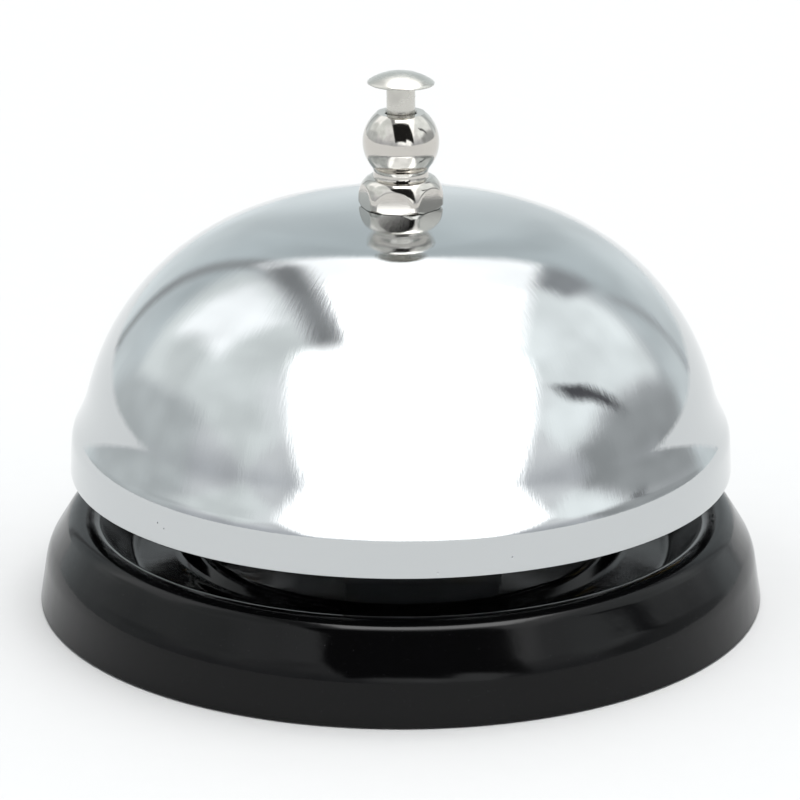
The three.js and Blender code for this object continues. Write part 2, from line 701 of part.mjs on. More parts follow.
const tabBack = tabFace - LEVER_SHEET - SEAT_GAP;
addPiece("hammer_head", "brass", turned([
  ...arc([0, 0], HEAD_RADIUS, HEAD_RADIUS, 90, 0, 5),
  [HEAD_RADIUS, -HEAD_BODY_LENGTH],
  [HEAD_TENON_RADIUS, -HEAD_BODY_LENGTH],
  [HEAD_TENON_RADIUS, tabBack],
  [HEAD_PEEN_RADIUS, tabBack],
  [HEAD_TENON_RADIUS, tabBack - HEAD_PEEN_HEIGHT],
  [0, tabBack - HEAD_PEEN_HEIGHT],
], SMALL_FACETS), striker);

const pinHeadFace = -FRAME_HALF_WIDTH - SEAT_GAP;
const pinClipLow = FRAME_HALF_WIDTH + STACK_GAP;
// The pin and its clip are drawn about Z; their group lays them along Y.
const pivot = new THREE.Group();
pivot.name = "pivot";
pivot.position.set(PIVOT_X, 0, PIVOT_Z);
pivot.rotation.x = -Math.PI / 2;
bell.add(pivot);

addPiece("pivot_pin", "zinc_steel", turned([
  [0, pinHeadFace - PIN_HEAD_HEIGHT],
  [PIN_HEAD_RADIUS, pinHeadFace - PIN_HEAD_HEIGHT],
  [PIN_HEAD_RADIUS, pinHeadFace],
  [PIN_RADIUS, pinHeadFace],
  [PIN_RADIUS, pinClipLow - RUNNING_GAP],
  [PIN_GROOVE_RADIUS, pinClipLow - RUNNING_GAP],
  [PIN_GROOVE_RADIUS, pinClipLow + CLIP_THICKNESS + RUNNING_GAP],
  [PIN_RADIUS, pinClipLow + CLIP_THICKNESS + RUNNING_GAP],
  [PIN_RADIUS, PIN_END],
  [0, PIN_END],
], SMALL_FACETS), pivot);
addPiece("pin_clip", "spring_steel", plate(
  clipOutline(PIN_GROOVE_RADIUS + RUNNING_GAP, PIN_CLIP_RADIUS),
  pinClipLow,
  pinClipLow + CLIP_THICKNESS,
), pivot);

// ================================================================ spring

class SpringLine extends THREE.Curve {
  // Closed turns at both ends lie almost flat; the turns between them share the rest.
  getPoint(t, target = new THREE.Vector3()) {
    const turn = t * SPRING_TURNS;
    const bottom = PLATFORM_TOP + STACK_GAP + SPRING_WIRE_RADIUS;
    const top = SPRING_TOP - SPRING_WIRE_RADIUS;
    const closedPitch = 2 * SPRING_WIRE_RADIUS * 1.15;
    const openTurns = SPRING_TURNS - 2 * SPRING_CLOSED_TURNS;
    const openPitch = (top - bottom - 2 * SPRING_CLOSED_TURNS * closedPitch) / openTurns;
    const low = Math.min(turn, SPRING_CLOSED_TURNS);
    const middle = Math.min(Math.max(turn - SPRING_CLOSED_TURNS, 0), openTurns);
    const high = Math.max(turn - SPRING_CLOSED_TURNS - openTurns, 0);
    const height = bottom + (low + high) * closedPitch + middle * openPitch;
    const angle = FULL_TURN * turn;
    return target.set(SPRING_RADIUS * Math.cos(angle), SPRING_RADIUS * Math.sin(angle), height);
  }
}

const wireOutline = arc([0, 0], SPRING_WIRE_RADIUS, SPRING_WIRE_RADIUS, 0, 360, SPRING_WIRE_SIDES);
const springGeometry = new THREE.ExtrudeGeometry(shapeOf(wireOutline.slice(1)), {
  steps: SPRING_TURNS * SPRING_STEPS_PER_TURN,
  extrudePath: new SpringLine(),
  bevelEnabled: false,
});
addPiece("return_spring", "spring_steel", closed(springGeometry));

export default bell;
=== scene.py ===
"""Counter service bell: the looks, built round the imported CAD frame."""
import json
import math

import bmesh
import bpy
from mathutils import Matrix, Vector


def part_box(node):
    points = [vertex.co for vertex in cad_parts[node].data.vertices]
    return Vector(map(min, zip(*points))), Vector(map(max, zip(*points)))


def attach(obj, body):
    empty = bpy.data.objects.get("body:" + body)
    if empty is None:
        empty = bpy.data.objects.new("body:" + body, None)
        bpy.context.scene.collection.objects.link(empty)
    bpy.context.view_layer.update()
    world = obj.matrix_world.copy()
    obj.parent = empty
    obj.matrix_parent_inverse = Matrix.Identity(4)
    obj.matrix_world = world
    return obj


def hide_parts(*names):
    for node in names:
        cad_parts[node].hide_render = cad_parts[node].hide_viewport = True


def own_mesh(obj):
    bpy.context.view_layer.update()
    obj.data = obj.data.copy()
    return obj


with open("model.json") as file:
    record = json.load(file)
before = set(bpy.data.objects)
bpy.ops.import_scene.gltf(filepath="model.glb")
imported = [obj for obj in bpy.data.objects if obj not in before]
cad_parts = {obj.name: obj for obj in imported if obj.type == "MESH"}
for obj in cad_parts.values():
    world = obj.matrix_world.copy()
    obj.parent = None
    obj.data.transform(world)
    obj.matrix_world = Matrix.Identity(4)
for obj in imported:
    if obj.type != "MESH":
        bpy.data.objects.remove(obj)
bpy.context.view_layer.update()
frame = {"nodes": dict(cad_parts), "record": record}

MM = 0.001

# ---------------------------------------------------------------- camera
AIM_HEIGHT = 0.030
CAMERA_DISTANCE = 0.4145
CAMERA_ELEVATION = 17.43
CAMERA_EXTRA_PITCH = 0.883
CAMERA_SIDE = -0.0001
CAMERA_LENS = 160.6
SENSOR_WIDTH = 36.0

# ---------------------------------------------------------------- mesh fineness
LARGE_SEGMENTS = 256
SMALL_SEGMENTS = 128
ARC_STEP_DEGREES = 3.0
SHARP_ANGLE = 32.0
WIRE_SHARP_ANGLE = 60.0
ON_AXIS = 1e-6
SAME_POINT = 0.001
FLAT_ANGLE = 0.5
BEVEL_SEGMENTS = 3
FINIAL_SEGMENTS = 360
FINIAL_STEP = 0.12
FOOT_OUTSIDE_STEP = 1.2
FOOT_INSIDE_STEP = 2.0
DOME_OUTSIDE_STEP = 0.8
DOME_INSIDE_STEP = 1.5
FLOOR_SQUARES = 4

# ---------------------------------------------------------------- foot, mm and degrees
BASE_SHEET = 1.0
SKIRT_BOTTOM = 0.2
SKIRT_LEAN = 99.2
SKIRT_LENGTH = 4.6
SHOULDER_RADIUS = 6.0
SHOULDER_LEAN = 122.0
SHOULDER_LENGTH = 3.0
CREST_RADIUS = 2.6
MOAT_WALL_LEAN = 232.0
MOAT_CORNER_RADIUS = 2.0
MOAT_FLOOR = 5.0
PLATFORM_WALL_LEAN = 125.0
PLATFORM_EDGE_RADIUS = 1.3
PLATFORM_RADIUS = 24.1
PLATFORM_TOP = 7.1
PAD_EDGE = 0.4
PAD_GROOVES = (12.0, 22.0, 32.0)
PAD_GROOVE_HALF = 0.6
PAD_GROOVE_DEPTH = 0.35

# ---------------------------------------------------------------- dome, mm and degrees
DOME_SHEET = 0.9
DOME_TOP = 46.9
DOME_HOLE_RADIUS = 2.8
CROWN_RADIUS = 87.8
CROWN_ANGLE = 8.7
SIDE_RADIUS = 28.29
SIDE_ANGLE = 75.2
NECK_RADIUS = 17.1
NECK_ANGLE = 61.2
LIP_RADIUS = 4.1
LIP_ANGLE = 87.0
LIP_BOTTOM = 15.7
LIP_EDGE_RADIUS = 0.3

# ---------------------------------------------------------------- finial nut, mm and degrees
FLANGE_RADIUS = 4.92
FLANGE_TOP = 47.6
FLANGE_CHAMFER = 0.32
CUSHION_CENTRE = 3.28
CUSHION_HEIGHT = 2.72
WAIST_RADIUS = 3.14
NECK_FILLET = 1.28
NECK_FLARE = 21.0
HEX_FLATS = 8.9
HEX_CORNER_TURN = 19.8
HEX_ROUNDING = 0.10
BALL_RADIUS = 4.39
BALL_CENTRE = 54.33
BALL_TOP = 57.75
FINIAL_SEAT = 46.97
NUT_THREAD_RADIUS = 2.7
NUT_THREAD_TOP = 49.9
ROD_HOLE_RADIUS = 1.8
ROD_HOLE_CHAMFER = 0.15

# ---------------------------------------------------------------- button, mm
ROD_RADIUS = 1.63
ROD_SHOULDER = 61.02
ROD_TIP = 28.45
ROD_GROOVE_RADIUS = 1.15
ROD_GROOVE = (32.05, 32.8)
CAP_RADIUS = 3.84
CAP_RIM = (61.10, 61.29)
CAP_TILT = 1.0
CAP_TOP = 62.5
CAP_SEAT_GAP = 0.02
CAP_UNDERCUT = 0.5

# ---------------------------------------------------------------- spring, mm
SPRING_RADIUS = 2.55
SPRING_WIRE_RADIUS = 0.35
SPRING_TURNS = 8
SPRING_POINTS_PER_TURN = 40
SPRING_CLOSED_PITCH = 1.15
SPRING_WIRE_SIDES = 14

# ---------------------------------------------------------------- broken edges, mm
EDGE_BREAKS = {
    "hammer_frame": 0.12,
    "frame_rivet_1": 0.06,
    "frame_rivet_2": 0.06,
    "spring_seat_rivet": 0.06,
    "center_post": 0.08,
    "post_lock_washer": 0.08,
    "post_lock_nut": 0.08,
    "post_seat_nut": 0.08,
    "dome_support_nut": 0.08,
    "dome_washer": 0.10,
    "plunger_clip": 0.06,
    "hammer_lever": 0.10,
    "hammer_head": 0.10,
    "pivot_pin": 0.08,
    "pin_clip": 0.06,
}

# ---------------------------------------------------------------- stage and softbox, m and degrees
FLOOR_HALF = 3.0
FLOOR_SHADES = (0.54, 0.55)
SOFTBOX_RADIANCE = 2.0
SOFTBOX_DISTANCE = 1.3
SOFTBOX_TILT = 50.0
SOFTBOX_SIDE = 0.15
SOFTBOX_WIDTH = 2.5
SOFTBOX_LENGTH = 2.4
SOFTBOX_FADE_ACROSS = 0.12
SOFTBOX_FADE_ALONG = 0.15


# ================================================================ mesh helpers

def walk(start, heading, steps):
    """A line drawn by walking: straight lengths, straight runs to some x or z, and arcs."""
    path = [(start[0], start[1], heading)]
    for step in steps:
        x, z, heading = path[-1]
        ahead = (math.cos(math.radians(heading)), math.sin(math.radians(heading)))
        if "radius" not in step:
            if "length" in step:
                length = step["length"]
            elif "to_x" in step:
                length = (step["to_x"] - x) / ahead[0]
            else:
                length = (step["to_z"] - z) / ahead[1]
            path.append((x + length * ahead[0], z + length * ahead[1], heading))
            continue
        turn = step["to"] - heading
        side = math.copysign(1.0, turn)
        radius = step["radius"]
        centre = (x - side * radius * ahead[1], z + side * radius * ahead[0])
        pieces = max(3, math.ceil(abs(turn) / step.get("fine", ARC_STEP_DEGREES)))
        for i in range(1, pieces + 1):
            now = heading + turn * i / pieces
            path.append((
                centre[0] + side * radius * math.sin(math.radians(now)),
                centre[1] - side * radius * math.cos(math.radians(now)),
                now,
            ))
    return path


def shifted(path, distance):
    """The walked line moved sideways, to the left of the way it runs, as (x, z) pairs."""
    return [
        (x - distance * math.sin(math.radians(h)), z + distance * math.cos(math.radians(h)))
        for x, z, h in path
    ]


def arc(centre, radius_x, radius_z, start, end, pieces):
    """Points along an elliptical arc, from start to end degrees."""
    points = []
    for i in range(pieces + 1):
        angle = math.radians(start + (end - start) * i / pieces)
        points.append((
            centre[0] + radius_x * math.cos(angle), centre[1] + radius_z * math.sin(angle),
        ))
    return points


def arc_run(radius, start, end):
    """How far an arc goes sideways while its heading turns from start to end."""
    side = math.copysign(1.0, end - start)
    return side * radius * (math.sin(math.radians(end)) - math.sin(math.radians(start)))


def arc_rise(radius, start, end):
    """How far an arc goes upwards while its heading turns from start to end."""
    side = math.copysign(1.0, end - start)
    return side * radius * (math.cos(math.radians(start)) - math.cos(math.radians(end)))


def subdivided(profile, longest):
    """The same profile with no straight stretch longer than longest, in mm."""
    result = [profile[0]]
    for (x0, z0), (x1, z1) in zip(profile, profile[1:]):
        pieces = max(1, math.ceil(math.hypot(x1 - x0, z1 - z0) / longest))
        for i in range(1, pieces + 1):
            t = i / pieces
            result.append((x0 + (x1 - x0) * t, z0 + (z1 - z0) * t))
    return result


def finish_mesh(name, mesh_data, sharp_angle=SHARP_ANGLE):
    """Makes an object of a bmesh: faces outwards, smooth, with edges above an angle kept sharp."""
    bmesh.ops.recalc_face_normals(mesh_data, faces=mesh_data.faces)
    limit = math.radians(sharp_angle)
    for edge in mesh_data.edges:
        edge.smooth = len(edge.link_faces) != 2 or edge.calc_face_angle(0.0) < limit
    for face in mesh_data.faces:
        face.smooth = True
    mesh = bpy.data.meshes.new(name)
    mesh_data.to_mesh(mesh)
    mesh_data.free()
    piece = bpy.data.objects.new(name, mesh)
    bpy.context.scene.collection.objects.link(piece)
    return piece


def revolve(name, profile, segments, reshape=None, inner_from=None):
    """Turns a profile of (radius, height) pairs, in mm, round Z.
    It starts and ends on the axis, or closes on itself. reshape(radius, height, angle)
    gives each point its own radius and height. Faces from the pair inner_from on take
    the second material."""
    mesh_data = bmesh.new()
    rings = []
    for radius, height in profile:
        if radius < ON_AXIS:
            rings.append([mesh_data.verts.new((0.0, 0.0, height * MM))])
            continue
        ring = []
        for k in range(segments):
            angle = 2 * math.pi * k / segments
            r, z = reshape(radius, height, angle) if reshape else (radius, height)
            ring.append(mesh_data.verts.new(
                (r * math.cos(angle) * MM, r * math.sin(angle) * MM, z * MM)
            ))
        rings.append(ring)
    pairs = list(zip(rings, rings[1:]))
    if len(rings[0]) > 1:
        pairs.append((rings[-1], rings[0]))
    for i, (low, high) in enumerate(pairs):
        if len(low) == 1 and len(high) == 1:
            continue
        for k in range(segments):
            n = (k + 1) % segments
            if len(low) == 1:
                corners = (low[0], high[k], high[n])
            elif len(high) == 1:
                corners = (low[k], low[n], high[0])
            else:
                corners = (low[k], low[n], high[n], high[k])
            face = mesh_data.faces.new(corners)
            face.material_index = int(inner_from is not None and i >= inner_from)
    return finish_mesh(name, mesh_data)


def refined_copy(name, node, bevel):
    """A copy of a CAD node with its edges broken by a small bevel, width in mm."""
    mesh_data = bmesh.new()
    mesh_data.from_mesh(frame["nodes"][node].data)
    bmesh.ops.remove_doubles(mesh_data, verts=mesh_data.verts, dist=SAME_POINT * MM)
    bmesh.ops.dissolve_limit(
        mesh_data, angle_limit=math.radians(FLAT_ANGLE),
        verts=mesh_data.verts, edges=mesh_data.edges,
    )
    limit = math.radians(SHARP_ANGLE)
    edges = [
        e for e in mesh_data.edges
        if len(e.link_faces) == 2 and e.calc_face_angle(0.0) > limit
    ]
    bmesh.ops.bevel(
        mesh_data, geom=edges, offset=bevel * MM, offset_type="OFFSET",
        segments=BEVEL_SEGMENTS, profile=0.5, affect="EDGES", clamp_overlap=True,
    )
    return finish_mesh(name, mesh_data)


# ================================================================ node helpers

class Nodes:
    """Adds shader nodes. Inputs are values or sockets; what comes back is the node."""

    def __init__(self, tree):
        self.tree = tree

    def add(self, kind, inputs=None, **settings):
        node = self.tree.nodes.new("ShaderNode" + kind)
        for key, value in settings.items():
            setattr(node, key, value)
        for key, value in (inputs or {}).items():
            if isinstance(value, bpy.types.NodeSocket):
                self.tree.links.new(value, node.inputs[key])
            else:
                node.inputs[key].default_value = value
        return node

    def math(self, operation, a, b=0.0):
        return self.add("Math", {0: a, 1: b}, operation=operation).outputs[0]

    def vector(self, operation, a, b=(0.0, 0.0, 0.0)):
        return self.add("VectorMath", {0: a, 1: b}, operation=operation).outputs[0]

    def scaled(self, vector, scale):
        return self.add(
            "VectorMath", {0: vector, "Scale": scale}, operation="SCALE"
        ).outputs[0]

    def ramp(self, value, low, high, to_low=0.0, to_high=1.0):
        """value from low..high to to_low..to_high, held at the ends."""
        return self.add(
            "MapRange", {
                "Value": value, "From Min": low, "From Max": high,
                "To Min": to_low, "To Max": to_high,
            },
            interpolation_type="SMOOTHSTEP",
        ).outputs["Result"]

    def noise(self, vector, scale, detail=2.0, roughness=0.5, distortion=0.0):
        return self.add("TexNoise", {
            "Vector": vector, "Scale": scale, "Detail": detail,
            "Roughness": roughness, "Distortion": distortion,
        }).outputs["Fac"]

    def mix(self, share, a, b):
        """Colour a turning into colour b as share goes from 0 to 1."""
        node = self.add("Mix", data_type="RGBA", blend_type="MIX")
        for index, value in ((0, share), (6, a), (7, b)):
            if isinstance(value, bpy.types.NodeSocket):
                self.tree.links.new(value, node.inputs[index])
            else:
                node.inputs[index].default_value = value
        return node.outputs[2]

    def bump(self, height, strength, distance, before=None):
        inputs = {"Height": height, "Strength": strength, "Distance": distance}
        if before is not None:
            inputs["Normal"] = before
        return self.add("Bump", inputs).outputs["Normal"]


def rgba(red, green, blue):
    return (red, green, blue, 1.0)


def new_material(name, color, metallic, roughness, **constants):
    """A Principled material. Returns it with its node adder, shader and object coordinates."""
    material = bpy.data.materials.new(name)
    material.use_nodes = True
    tree = material.node_tree
    tree.nodes.clear()
    nodes = Nodes(tree)
    shader = nodes.add("BsdfPrincipled", {
        "Base Color": color, "Metallic": metallic, "Roughness": roughness, **constants,
    })
    output = nodes.add("OutputMaterial")
    tree.links.new(shader.outputs[0], output.inputs["Surface"])
    place = nodes.add("TexCoord").outputs["Object"]
    return material, nodes, shader, place


def wire(nodes, shader, **sockets):
    """Links sockets to the shader's inputs; an underscore in a name stands for a space."""
    for key, socket in sockets.items():
        nodes.tree.links.new(socket, shader.inputs[key.replace("_", " ")])


def round_axis(nodes, place):
    """Directions and sizes for something turned about Z: (unit direction, radius, height)."""
    flat = nodes.vector("MULTIPLY", place, (1.0, 1.0, 0.0))
    direction = nodes.vector("NORMALIZE", flat)
    radius = nodes.add("VectorMath", {0: flat}, operation="LENGTH").outputs["Value"]
    height = nodes.add("SeparateXYZ", {0: place}).outputs["Z"]
    return direction, radius, height


# ================================================================ materials

CHROME = rgba(0.575, 0.592, 0.598)
ENAMEL = rgba(0.002, 0.002, 0.0022)


def chrome_material():
    """Mirror chrome with faint polishing lines, soft smears and pinholes near the lip."""
    material, nodes, shader, place = new_material("chrome_plate", CHROME, 1.0, 0.05)
    direction, radius, height = round_axis(nodes, place)
    # Polishing lines run down the dome from the crown to the lip.
    across = nodes.add("SeparateXYZ", {0: direction}).outputs
    lines_at = nodes.add("CombineXYZ", {
        0: across["X"], 1: across["Y"], 2: nodes.math("MULTIPLY", height, 6.0),
    }).outputs[0]
    lines = nodes.noise(lines_at, 60.0, 5.0, 0.7)
    smears = nodes.noise(place, 45.0, 3.0, 0.55, 0.6)
    waves = nodes.noise(place, 95.0, 2.0)
    # Pinholes gather on the band below the crease.
    spots = nodes.add("TexVoronoi", {"Vector": place, "Scale": 900.0}).outputs["Distance"]
    chosen = nodes.noise(place, 300.0, 2.0)
    pit = nodes.math(
        "MULTIPLY", nodes.ramp(spots, 0.05, 0.12, 1.0, 0.0), nodes.ramp(chosen, 0.57, 0.61),
    )
    pit = nodes.math("MULTIPLY", pit, nodes.ramp(height, 0.0205, 0.0180))
    color = nodes.mix(pit, CHROME, rgba(0.22, 0.22, 0.23))
    rough = nodes.math(
        "ADD", nodes.ramp(smears, 0.35, 0.75, 0.04, 0.09), nodes.math("MULTIPLY", pit, 0.3),
    )
    rough = nodes.math("ADD", rough, nodes.ramp(lines, 0.5, 0.8, 0.0, 0.05))
    normal = nodes.bump(waves, 0.012, 0.002)
    normal = nodes.bump(lines, 0.02, 0.001, normal)
    normal = nodes.bump(nodes.math("SUBTRACT", 1.0, pit), 0.35, 0.0001, normal)
    wire(nodes, shader, Base_Color=color, Roughness=rough, Normal=normal)
    return material


def dome_inside_painted_shade_material():
    """The inside of the dome: dull plating, darkened as painted shade under the dome, streaked and
    a little stained.
    """
    material, nodes, shader, place = new_material(
        "dome_inside", rgba(0.16, 0.165, 0.17), 1.0, 0.5,
    )
    stains = nodes.noise(place, 90.0, 4.0, 0.6, 0.8)
    grain = nodes.noise(place, 1500.0, 2.0)
    # Dull grey plating, made darker than real plating as painted shade under the dome; the browner
    # patches are stains.
    color = nodes.mix(
        nodes.ramp(stains, 0.4, 0.7), rgba(0.17, 0.175, 0.18), rgba(0.10, 0.095, 0.085))
    normal = nodes.bump(grain, 0.2, 0.00005)
    wire(
        nodes, shader, Base_Color=color, Roughness=nodes.ramp(stains, 0.3, 0.7, 0.42, 0.58),
        Normal=normal,
    )
    return material


def enamel_material():
    """Gloss black stove enamel: slight orange peel, fine dust and soft handling marks."""
    material, nodes, shader, place = new_material(
        "gloss_black_enamel", ENAMEL, 0.0, 0.1,
        **{"Specular IOR Level": 0.2},
    )
    peel = nodes.noise(place, 420.0, 2.0, 0.4)
    slow = nodes.noise(place, 60.0, 2.0)
    dust = nodes.noise(place, 5200.0, 1.0)
    speck = nodes.ramp(dust, 0.74, 0.80)
    color = nodes.mix(speck, ENAMEL, rgba(0.02, 0.02, 0.021))
    rough = nodes.math(
        "ADD", nodes.ramp(slow, 0.3, 0.7, 0.07, 0.15), nodes.math("MULTIPLY", speck, 0.25),
    )
    normal = nodes.bump(peel, 0.04, 0.0004)
    wire(nodes, shader, Base_Color=color, Roughness=rough, Normal=normal)
    return material


def turned_metal(name, color, roughness, line_depth, tarnish):
    """Metal turned on a lathe: fine rings round Z, faint smears and a little tarnish."""
    material, nodes, shader, place = new_material(name, color, 1.0, roughness)
    _, radius, height = round_axis(nodes, place)
    rings_at = nodes.add("CombineXYZ", {0: radius, 1: 0.0, 2: height}).outputs[0]
    rings = nodes.noise(rings_at, 9000.0, 3.0, 0.6)
    smears = nodes.noise(place, 260.0, 3.0, 0.6, 0.4)
    darker = tuple(c * (1.0 - tarnish) for c in color[:3]) + (1.0,)
    shade = nodes.mix(nodes.ramp(smears, 0.5, 0.8), color, darker)
    rough = nodes.math(
        "ADD",
        nodes.ramp(smears, 0.3, 0.8, roughness * 0.75, roughness * 1.4),
        nodes.ramp(rings, 0.4, 0.8, 0.0, roughness * 0.3),
    )
    normal = nodes.bump(rings, line_depth, 0.00005)
    wire(nodes, shader, Base_Color=shade, Roughness=rough, Normal=normal)
    return material


def sheet_metal(name, color, roughness, tint):
    """Plated sheet or wire: mottled plating, a slight tint in patches, fine rolling grain."""
    material, nodes, shader, place = new_material(name, color, 1.0, roughness)
    mottle = nodes.noise(place, 700.0, 4.0, 0.6)
    patches = nodes.noise(place, 120.0, 2.0)
    grain = nodes.noise(nodes.vector("MULTIPLY", place, (600.0, 6000.0, 600.0)), 1.0, 2.0)
    shade = nodes.mix(nodes.ramp(patches, 0.4, 0.7), color, tint)
    rough = nodes.ramp(mottle, 0.3, 0.7, roughness * 0.8, roughness * 1.25)
    normal = nodes.bump(grain, 0.08, 0.00003)
    normal = nodes.bump(mottle, 0.05, 0.00005, normal)
    wire(nodes, shader, Base_Color=shade, Roughness=rough, Normal=normal)
    return material


def dull_material(name, color, other, roughness, scale, strength):
    """Rubber or fibre: two close shades, a fine uneven surface, no gloss."""
    material, nodes, shader, place = new_material(name, color, 0.0, roughness)
    speckle = nodes.noise(place, scale, 4.0, 0.65)
    shade = nodes.mix(nodes.ramp(speckle, 0.4, 0.65), color, other)
    rough = nodes.ramp(speckle, 0.3, 0.7, roughness * 0.9, min(1.0, roughness * 1.08))
    normal = nodes.bump(speckle, strength, 0.0001)
    wire(nodes, shader, Base_Color=shade, Roughness=rough, Normal=normal)
    return material


materials = {
    "chrome": chrome_material(),
    "gloss_black": enamel_material(),
    "nickel": turned_metal("polished_nickel", rgba(0.60, 0.575, 0.535), 0.07, 0.05, 0.12),
    "satin_nickel": turned_metal("satin_nickel", rgba(0.60, 0.585, 0.545), 0.24, 0.12, 0.10),
    "zinc_steel": sheet_metal(
        "zinc_plate", rgba(0.55, 0.57, 0.59), 0.36, rgba(0.56, 0.54, 0.46)),
    "spring_steel": sheet_metal(
        "spring_steel", rgba(0.33, 0.34, 0.36), 0.30, rgba(0.28, 0.27, 0.30)),
    "brass": turned_metal("turned_brass", rgba(0.72, 0.52, 0.22), 0.28, 0.15, 0.25),
    "red_fibre": dull_material(
        "red_fibre", rgba(0.13, 0.022, 0.014), rgba(0.09, 0.015, 0.010), 0.85, 1800.0, 0.3),
    "black_rubber": dull_material(
        "black_rubber", rgba(0.012, 0.012, 0.013), rgba(0.02, 0.02, 0.02), 0.88, 1500.0, 0.25),
}
slot_of = {entry["node"]: entry["material_slot"] for entry in frame["record"]["subparts"]}
body_of = {
    node: body
    for body, members in frame["record"]["behaviour"]["bodies"].items()
    for node in members
}


def place_piece(piece, node):
    """Gives a piece its node's finish and body, and hides the CAD node that it stands for."""
    piece.data.materials.clear()
    piece.data.materials.append(materials[slot_of[node]])
    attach(piece, body_of[node])
    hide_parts(node)
    return piece


# ================================================================ foot

base_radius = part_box("base_shell")[1].x / MM
moat_corner_run = arc_run(MOAT_CORNER_RADIUS, 180.0, PLATFORM_WALL_LEAN)
moat_corner_rise = arc_rise(MOAT_CORNER_RADIUS, 180.0, PLATFORM_WALL_LEAN)
platform_edge_run = arc_run(PLATFORM_EDGE_RADIUS, PLATFORM_WALL_LEAN, 180.0)
platform_edge_rise = arc_rise(PLATFORM_EDGE_RADIUS, PLATFORM_WALL_LEAN, 180.0)
platform_wall_rise = PLATFORM_TOP - platform_edge_rise - moat_corner_rise - MOAT_FLOOR
platform_wall_run = platform_wall_rise / math.tan(math.radians(PLATFORM_WALL_LEAN))
base_path = walk((base_radius, SKIRT_BOTTOM), SKIRT_LEAN, [
    {"length": SKIRT_LENGTH},
    {"radius": SHOULDER_RADIUS, "to": SHOULDER_LEAN, "fine": 1.5},
    {"length": SHOULDER_LENGTH},
    {"radius": CREST_RADIUS, "to": MOAT_WALL_LEAN},
    {"to_z": MOAT_FLOOR - arc_rise(MOAT_CORNER_RADIUS, MOAT_WALL_LEAN, 180.0)},
    {"radius": MOAT_CORNER_RADIUS, "to": 180.0},
    {"to_x": PLATFORM_RADIUS - platform_edge_run / 2 - platform_wall_run - moat_corner_run},
    {"radius": MOAT_CORNER_RADIUS, "to": PLATFORM_WALL_LEAN},
    {"to_z": PLATFORM_TOP - platform_edge_rise},
    {"radius": PLATFORM_EDGE_RADIUS, "to": 180.0},
])
base_outside = [(x, z) for x, z, _ in base_path] + [(0.0, PLATFORM_TOP)]
base_inside = [(0.0, PLATFORM_TOP - BASE_SHEET)] + shifted(base_path, BASE_SHEET)[::-1]
base_profile = (
    subdivided(base_outside, FOOT_OUTSIDE_STEP) + subdivided(base_inside, FOOT_INSIDE_STEP)
)
place_piece(revolve("foot_shell", base_profile, LARGE_SEGMENTS), "base_shell")

pad_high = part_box("base_pad")[1]
pad_radius = pad_high.x / MM
pad_top = pad_high.z / MM
pad_bottom = [(0.0, 0.0)]
for groove in PAD_GROOVES:
    pad_bottom += [
        (groove - PAD_GROOVE_HALF, 0.0),
        (groove - PAD_GROOVE_HALF / 2, PAD_GROOVE_DEPTH),
        (groove + PAD_GROOVE_HALF / 2, PAD_GROOVE_DEPTH),
        (groove + PAD_GROOVE_HALF, 0.0),
    ]
pad_side = arc((pad_radius - PAD_EDGE, PAD_EDGE), PAD_EDGE, PAD_EDGE, -90.0, 0.0, 6)
pad_profile = pad_bottom + pad_side + [(pad_radius, pad_top), (0.0, pad_top)]
place_piece(revolve("foot_pad", pad_profile, LARGE_SEGMENTS), "base_pad")

# ================================================================ dome

crown_start = DOME_TOP - CROWN_RADIUS + math.sqrt(CROWN_RADIUS ** 2 - DOME_HOLE_RADIUS ** 2)
dome_path = walk(
    (DOME_HOLE_RADIUS, crown_start),
    -math.degrees(math.asin(DOME_HOLE_RADIUS / CROWN_RADIUS)),
    [
        {"radius": CROWN_RADIUS, "to": -CROWN_ANGLE, "fine": 0.5},
        {"radius": SIDE_RADIUS, "to": -SIDE_ANGLE, "fine": 1.2},
        {"radius": NECK_RADIUS, "to": -NECK_ANGLE, "fine": 1.2},
        {"radius": LIP_RADIUS, "to": -LIP_ANGLE, "fine": 2.0},
        {"to_z": LIP_BOTTOM + LIP_EDGE_RADIUS},
        {"radius": LIP_EDGE_RADIUS, "to": -LIP_ANGLE - 90.0, "fine": 15.0},
    ],
)
inner_path = [p for p in dome_path if p[2] > -LIP_ANGLE - 1.0]
dome_outside = [(x, z) for x, z, _ in dome_path]
dome_inside = shifted(inner_path, -DOME_SHEET)[::-1]
dome_outside = subdivided(dome_outside, DOME_OUTSIDE_STEP)
dome_profile = dome_outside + subdivided(dome_inside, DOME_INSIDE_STEP)
dome = revolve("dome", dome_profile, LARGE_SEGMENTS, inner_from=len(dome_outside) - 1)
place_piece(dome, "bell_dome")
dome.data.materials.append(dome_inside_painted_shade_material())

# ================================================================ finial nut

